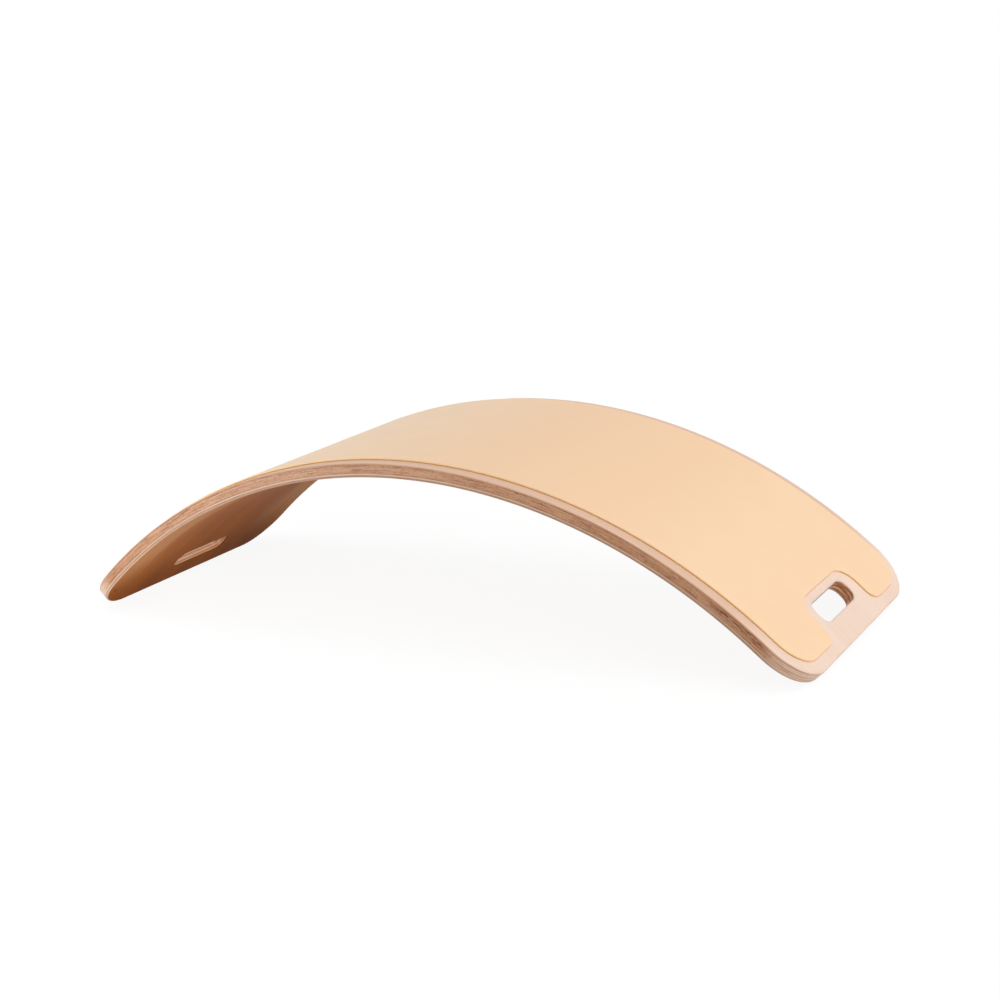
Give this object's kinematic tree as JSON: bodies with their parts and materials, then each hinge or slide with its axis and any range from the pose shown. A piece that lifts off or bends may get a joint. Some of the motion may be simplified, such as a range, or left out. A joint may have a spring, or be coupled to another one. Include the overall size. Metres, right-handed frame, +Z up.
{
  "type": "kids balance board",
  "caption": "Curved balance board for a child: a bent plywood arch with a hand slot through each end and a thin soft mat bonded on its outer curve.",
  "frame": {"origin": "on the floor, midway between the two ends and midway across the board, below the crown of the arch", "axes": "+X along the board, towards the end that is on the right in the picture; +Y across the board, away from the picture's camera; +Z up"},
  "size_m": [0.7984, 0.3, 0.1822],
  "materials": {
    "face_veneer": "satin",
    "long_veneer": "satin",
    "cross_veneer": "satin",
    "grip_mat": "matte"
  },
  "bodies": {
    "root": {"face_veneer_top": "face_veneer", "cross_veneer_2": "cross_veneer", "long_veneer_3": "long_veneer", "cross_veneer_4": "cross_veneer", "long_veneer_5": "long_veneer", "cross_veneer_6": "cross_veneer", "long_veneer_7": "long_veneer", "cross_veneer_8": "cross_veneer", "long_veneer_9": "long_veneer", "cross_veneer_10": "cross_veneer", "face_veneer_bottom": "face_veneer", "grip_mat": "grip_mat"}
  },
  "joints": []
}
